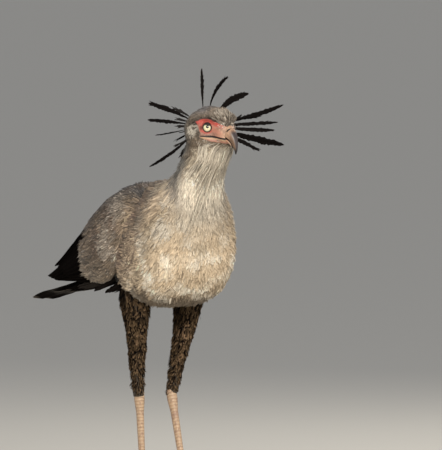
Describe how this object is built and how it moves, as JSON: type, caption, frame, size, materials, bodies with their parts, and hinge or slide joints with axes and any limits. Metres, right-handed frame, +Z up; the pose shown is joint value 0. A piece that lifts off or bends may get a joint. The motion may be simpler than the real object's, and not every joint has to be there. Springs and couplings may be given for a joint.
{
  "type": "secretary bird",
  "caption": "Still, life-size secretary bird standing on both feet with its crest raised, for display on a flat floor.",
  "frame": {"origin": "on the floor plane, under the middle of the bird's outline seen from above", "axes": "+Z up; the bird faces -Y and its own left side is +X"},
  "size_m": [0.3382, 0.9706, 1.0781],
  "materials": {
    "grey_plumage": "matte feathers, pale grey with fine streaks",
    "body_plumage": "matte feathers, cream-buff breast and belly",
    "wing_plumage": "matte feathers, grey-brown with pale fringes",
    "black_plumage": "satin black to black-brown feathers",
    "leg_skin": "dull scaled skin, pinkish buff",
    "bill_horn": "satin horn, grey with a dark tip",
    "claw_horn": "satin horn, black",
    "eye": "wet gloss, pale cream-yellow iris with a dark pupil"
  },
  "bodies": {
    "root": {"head": "grey_plumage", "neck": "grey_plumage", "torso": "body_plumage", "tail": "black_plumage", "wing_right": "wing_plumage", "wing_left": "wing_plumage", "thigh_right": "black_plumage", "thigh_left": "black_plumage", "shank_right": "leg_skin", "shank_left": "leg_skin", "foot_right": "leg_skin", "foot_left": "leg_skin", "bill_upper": "bill_horn", "bill_lower": "bill_horn", "eye_right": "eye", "eye_left": "eye", "claw_inner_right": "claw_horn", "claw_middle_right": "claw_horn", "claw_outer_right": "claw_horn", "claw_hind_right": "claw_horn", "claw_inner_left": "claw_horn", "claw_middle_left": "claw_horn", "claw_outer_left": "claw_horn", "claw_hind_left": "claw_horn"}
  },
  "joints": []
}
